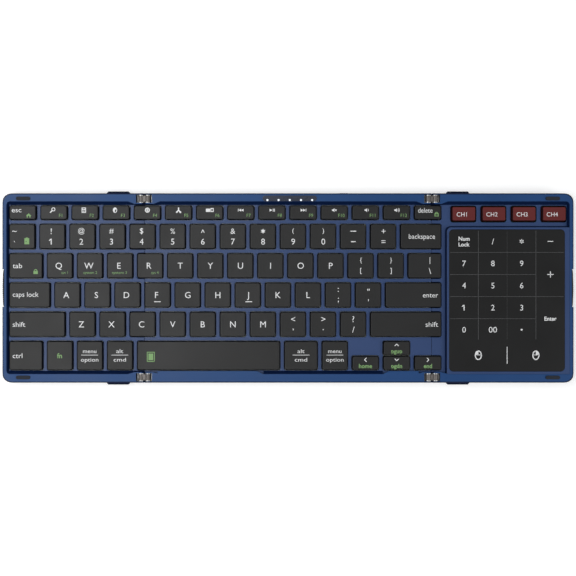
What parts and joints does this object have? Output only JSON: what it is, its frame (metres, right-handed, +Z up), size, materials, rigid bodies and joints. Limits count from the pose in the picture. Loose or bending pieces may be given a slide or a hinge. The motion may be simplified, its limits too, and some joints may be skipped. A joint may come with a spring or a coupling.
{
  "type": "folding keyboard",
  "caption": "Slim keyboard in three panels; the two wings, one with a touch pad, turn over onto the middle panel on double-pin hinges.",
  "frame": {"origin": "on the table under the middle of the opened keyboard", "axes": "+X to the typist's right along the keyboard, +Y to the back edge, +Z up"},
  "size_m": [0.3606, 0.123, 0.0105],
  "materials": {
    "rail_blue": "satin anodised-look paint",
    "deck_blue": "fine satin",
    "base_navy": "satin",
    "key_black": "fine matte",
    "mode_red": "fine matte",
    "pad_black": "coated matte glass",
    "steel": "brushed",
    "link_metal": "brushed",
    "rubber": "matte",
    "film": "clear film",
    "scissor_white": "moulded",
    "board_green": "solder mask",
    "battery_silver": "foil pouch",
    "window_black": "gloss",
    "switch_black": "matte"
  },
  "bodies": {
    "centre": {"centre_rails": "rail_blue", "centre_deck": "deck_blue", "centre_base": "base_navy", "centre_plate": "steel", "centre_membrane": "film", "centre_scissors": "scissor_white", "centre_brackets": "steel", "centre_feet": "rubber", "centre_screws": "steel", "status_window": "window_black", "main_board": "board_green", "charging_socket": "steel"},
    "left_link": {"left_links": "link_metal", "left_pins": "steel"},
    "left_wing": {"left_rails": "rail_blue", "left_deck": "deck_blue", "left_base": "base_navy", "left_plate": "steel", "left_membrane": "film", "left_scissors": "scissor_white", "left_brackets": "steel", "left_bumpers": "rubber", "left_grip": "rubber", "left_feet": "rubber", "left_screws": "steel"},
    "right_link": {"right_links": "link_metal", "right_pins": "steel"},
    "right_wing": {"right_rails": "rail_blue", "right_deck": "deck_blue", "right_base": "base_navy", "pad_glass": "pad_black", "wing_board": "board_green", "battery": "battery_silver", "right_brackets": "steel", "right_bumpers": "rubber", "right_grip": "rubber", "right_feet": "rubber", "right_screws": "steel"},
    "power_switch": {"power_switch": "switch_black"},
    "left_function_keys": {"left_function_keys": "key_black"},
    "left_number_keys": {"left_number_keys": "key_black"},
    "tab_key": {"tab_key": "key_black"},
    "left_upper_keys": {"left_upper_keys": "key_black"},
    "caps_key": {"caps_key": "key_black"},
    "left_home_keys": {"left_home_keys": "key_black"},
    "left_shift_key": {"left_shift_key": "key_black"},
    "left_lower_keys": {"left_lower_keys": "key_black"},
    "left_bottom_keys": {"left_bottom_keys": "key_black"},
    "centre_function_keys": {"centre_function_keys": "key_black"},
    "centre_number_keys": {"centre_number_keys": "key_black"},
    "backspace_key": {"backspace_key": "key_black"},
    "centre_upper_keys": {"centre_upper_keys": "key_black"},
    "centre_home_keys": {"centre_home_keys": "key_black"},
    "enter_key": {"enter_key": "key_black"},
    "centre_lower_keys": {"centre_lower_keys": "key_black"},
    "right_shift_key": {"right_shift_key": "key_black"},
    "space_bar": {"space_bar": "key_black"},
    "right_bottom_keys": {"right_bottom_keys": "key_black"},
    "arrow_keys": {"arrow_keys": "key_black"},
    "mode_keys": {"mode_keys": "mode_red"}
  },
  "joints": [
    {"name": "left_fold", "type": "hinge", "parent": "centre", "child": "left_link", "pos_m": [-0.08866, 0, 0.00807], "axis": [0, 1, 0], "range_deg": [0, 90]},
    {"name": "left_fold_wing", "type": "hinge", "parent": "left_link", "child": "left_wing", "pos_m": [-0.09305, 0, 0.00807], "axis": [0, 1, 0], "range_deg": [0, 90]},
    {"name": "right_fold", "type": "hinge", "parent": "centre", "child": "right_link", "pos_m": [0.08868, 0, 0.00807], "axis": [0, -1, 0], "range_deg": [0, 90]},
    {"name": "right_fold_wing", "type": "hinge", "parent": "right_link", "child": "right_wing", "pos_m": [0.09308, 0, 0.00807], "axis": [0, -1, 0], "range_deg": [0, 90]},
    {"name": "left_function_press", "type": "slide", "parent": "left_wing", "child": "left_function_keys", "axis": [0, 0, -1], "range_m": [0, 0.0016], "stiffness_N_per_m": 1400, "deforming": ["left_membrane", "left_scissors"]},
    {"name": "left_number_press", "type": "slide", "parent": "left_wing", "child": "left_number_keys", "axis": [0, 0, -1], "range_m": [0, 0.0016], "stiffness_N_per_m": 1400},
    {"name": "tab_press", "type": "slide", "parent": "left_wing", "child": "tab_key", "axis": [0, 0, -1], "range_m": [0, 0.0016], "stiffness_N_per_m": 350},
    {"name": "left_upper_press", "type": "slide", "parent": "left_wing", "child": "left_upper_keys", "axis": [0, 0, -1], "range_m": [0, 0.0016], "stiffness_N_per_m": 1050},
    {"name": "caps_press", "type": "slide", "parent": "left_wing", "child": "caps_key", "axis": [0, 0, -1], "range_m": [0, 0.0016], "stiffness_N_per_m": 350},
    {"name": "left_home_press", "type": "slide", "parent": "left_wing", "child": "left_home_keys", "axis": [0, 0, -1], "range_m": [0, 0.0016], "stiffness_N_per_m": 1050},
    {"name": "left_shift_press", "type": "slide", "parent": "left_wing", "child": "left_shift_key", "axis": [0, 0, -1], "range_m": [0, 0.0016], "stiffness_N_per_m": 350},
    {"name": "left_lower_press", "type": "slide", "parent": "left_wing", "child": "left_lower_keys", "axis": [0, 0, -1], "range_m": [0, 0.0016], "stiffness_N_per_m": 700},
    {"name": "left_bottom_press", "type": "slide", "parent": "left_wing", "child": "left_bottom_keys", "axis": [0, 0, -1], "range_m": [0, 0.0016], "stiffness_N_per_m": 1400},
    {"name": "centre_function_press", "type": "slide", "parent": "centre", "child": "centre_function_keys", "axis": [0, 0, -1], "range_m": [0, 0.0016], "stiffness_N_per_m": 3500, "deforming": ["centre_membrane", "centre_scissors"]},
    {"name": "centre_number_press", "type": "slide", "parent": "centre", "child": "centre_number_keys", "axis": [0, 0, -1], "range_m": [0, 0.0016], "stiffness_N_per_m": 3150},
    {"name": "backspace_press", "type": "slide", "parent": "centre", "child": "backspace_key", "axis": [0, 0, -1], "range_m": [0, 0.0016], "stiffness_N_per_m": 350},
    {"name": "centre_upper_press", "type": "slide", "parent": "centre", "child": "centre_upper_keys", "axis": [0, 0, -1], "range_m": [0, 0.0016], "stiffness_N_per_m": 3500},
    {"name": "centre_home_press", "type": "slide", "parent": "centre", "child": "centre_home_keys", "axis": [0, 0, -1], "range_m": [0, 0.0016], "stiffness_N_per_m": 2800},
    {"name": "enter_press", "type": "slide", "parent": "centre", "child": "enter_key", "axis": [0, 0, -1], "range_m": [0, 0.0016], "stiffness_N_per_m": 350},
    {"name": "centre_lower_press", "type": "slide", "parent": "centre", "child": "centre_lower_keys", "axis": [0, 0, -1], "range_m": [0, 0.0016], "stiffness_N_per_m": 2800},
    {"name": "right_shift_press", "type": "slide", "parent": "centre", "child": "right_shift_key", "axis": [0, 0, -1], "range_m": [0, 0.0016], "stiffness_N_per_m": 350},
    {"name": "space_bar_press", "type": "slide", "parent": "centre", "child": "space_bar", "axis": [0, 0, -1], "range_m": [0, 0.0016], "stiffness_N_per_m": 350},
    {"name": "right_bottom_press", "type": "slide", "parent": "centre", "child": "right_bottom_keys", "axis": [0, 0, -1], "range_m": [0, 0.0016], "stiffness_N_per_m": 700},
    {"name": "arrow_press", "type": "slide", "parent": "centre", "child": "arrow_keys", "axis": [0, 0, -1], "range_m": [0, 0.0016], "stiffness_N_per_m": 1400},
    {"name": "mode_press", "type": "slide", "parent": "right_wing", "child": "mode_keys", "axis": [0, 0, -1], "range_m": [0, 0.0016], "stiffness_N_per_m": 1400},
    {"name": "power_slide", "type": "slide", "parent": "centre", "child": "power_switch", "axis": [1, 0, 0], "range_m": [0, 0.0025]}
  ],
  "couplings": [
    {"joint": "left_fold_wing", "follows": "left_fold", "ratio": 1},
    {"joint": "right_fold_wing", "follows": "right_fold", "ratio": 1}
  ]
}
